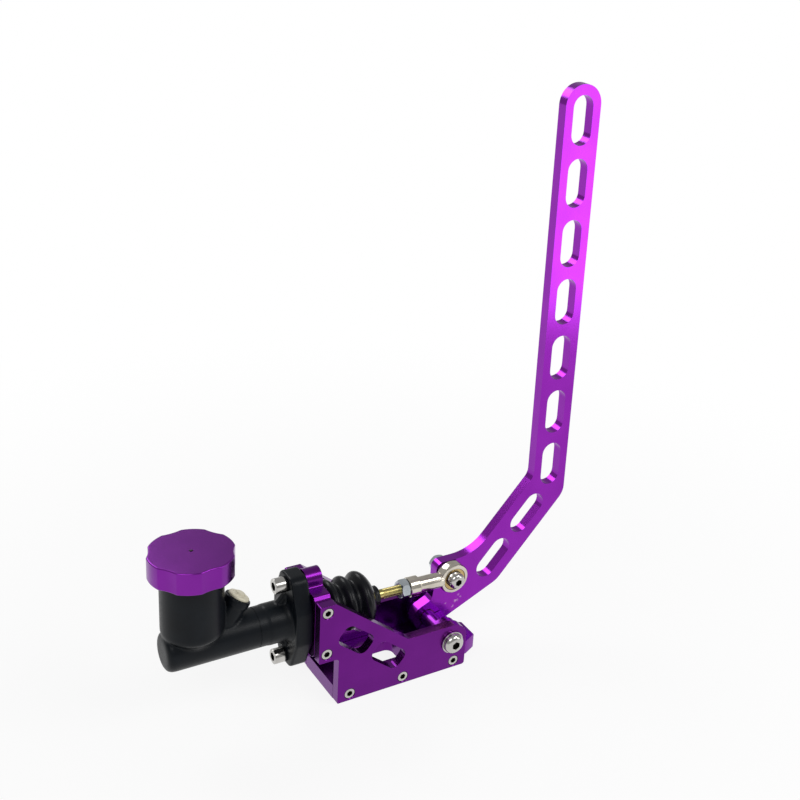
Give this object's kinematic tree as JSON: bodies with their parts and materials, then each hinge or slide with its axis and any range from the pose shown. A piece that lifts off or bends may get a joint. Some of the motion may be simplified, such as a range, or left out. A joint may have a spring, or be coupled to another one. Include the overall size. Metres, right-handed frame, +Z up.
{
  "type": "parking brake lever",
  "caption": "Hydraulic hand brake: tall bent lever on a bolted bracket that pushes the rod of a flange-mounted master cylinder with a reservoir",
  "frame": {"origin": "centre of the base plate's underside", "axes": "+Z up along the lever, +X from the cylinder towards the hinge, -Y towards the side that the picture shows"},
  "size_m": [0.3611, 0.0838, 0.4585],
  "materials": {
    "purple_anodised": "satin",
    "black_casting": "satin",
    "bright_steel": "polished",
    "zinc_steel": "satin",
    "yellow_zinc": "satin",
    "nickel_plate": "polished",
    "brass": "satin",
    "black_rubber": "matte",
    "cream_plastic": "matte",
    "bare_alloy": "satin"
  },
  "bodies": {
    "bracket": {"base_plate": "purple_anodised", "side_plate_near": "purple_anodised", "side_plate_far": "purple_anodised", "mount_plate": "purple_anodised", "plate_screw_near_1": "bright_steel", "plate_screw_near_2": "bright_steel", "plate_screw_near_3": "bright_steel", "plate_screw_near_4": "bright_steel", "plate_screw_near_5": "bright_steel", "plate_screw_far_1": "bright_steel", "plate_screw_far_2": "bright_steel", "plate_screw_far_3": "bright_steel", "plate_screw_far_4": "bright_steel", "plate_screw_far_5": "bright_steel", "cylinder_body": "black_casting", "flange_washer_upper": "zinc_steel", "flange_washer_lower": "zinc_steel", "flange_bolt_upper": "bright_steel", "flange_bolt_lower": "bright_steel", "cap_seal": "black_rubber", "valve_spacer": "cream_plastic", "stop_washer": "bright_steel", "circlip": "bright_steel", "return_spring": "bright_steel", "dust_boot": "black_rubber", "hinge_bolt": "bright_steel", "hinge_washer_near": "bright_steel", "hinge_washer_far": "bright_steel", "hinge_nut": "zinc_steel", "hinge_spacer": "purple_anodised"},
    "hand_lever": {"lever": "purple_anodised", "hinge_bush": "brass", "pivot_block": "purple_anodised", "hub_screw_1": "bright_steel", "hub_screw_2": "bright_steel", "rod_end_ball": "bright_steel", "rod_end_bolt": "bright_steel", "rod_end_spacer": "bright_steel", "rod_end_washer": "zinc_steel", "rod_end_nut": "zinc_steel"},
    "rod": {"push_rod": "yellow_zinc", "lock_nut": "zinc_steel", "rod_end_housing": "nickel_plate", "rod_end_liner": "brass"},
    "plunger": {"piston": "bare_alloy", "piston_cup_front": "black_rubber", "piston_cup_rear": "black_rubber", "spring_thimble": "bright_steel"},
    "centre_valve": {"valve_stem": "bright_steel", "valve_seal": "black_rubber"},
    "filler_cap": {"reservoir_cap": "purple_anodised"},
    "plug": {"port_plug": "cream_plastic"}
  },
  "joints": [
    {"name": "lever_hinge", "type": "hinge", "parent": "bracket", "child": "hand_lever", "pos_m": [0.0435, 0, 0.0254], "axis": [0, -1, 0], "range_deg": [0, 18], "stiffness_Nm_per_rad": 3, "springref_deg": -17.19},
    {"name": "rod_hinge", "type": "hinge", "parent": "hand_lever", "child": "rod", "pos_m": [0.0598, 0, 0.0638], "axis": [0, -1, 0], "range_deg": [-17, 0], "deforming": ["dust_boot"]},
    {"name": "piston_slide", "type": "slide", "parent": "bracket", "child": "plunger", "axis": [-1, 0, 0], "range_m": [0, 0.013], "deforming": ["return_spring"]},
    {"name": "valve_slide", "type": "slide", "parent": "bracket", "child": "centre_valve", "axis": [-1, 0, 0], "range_m": [0, 0.0015]},
    {"name": "cap_turn", "type": "hinge", "parent": "bracket", "child": "filler_cap", "pos_m": [-0.1585, 0, 0.1455], "axis": [0, 0, 1], "range_deg": [0, 540]},
    {"name": "plug_pull", "type": "slide", "parent": "bracket", "child": "plug", "axis": [0.5299, 0, 0.848], "range_m": [0, 0.014]}
  ],
  "couplings": [
    {"joint": "rod_hinge", "follows": "lever_hinge", "ratio": -0.9091},
    {"joint": "piston_slide", "follows": "lever_hinge", "m_per_rad": 0.0405},
    {"joint": "valve_slide", "follows": "lever_hinge", "m_per_rad": 0.0045}
  ]
}
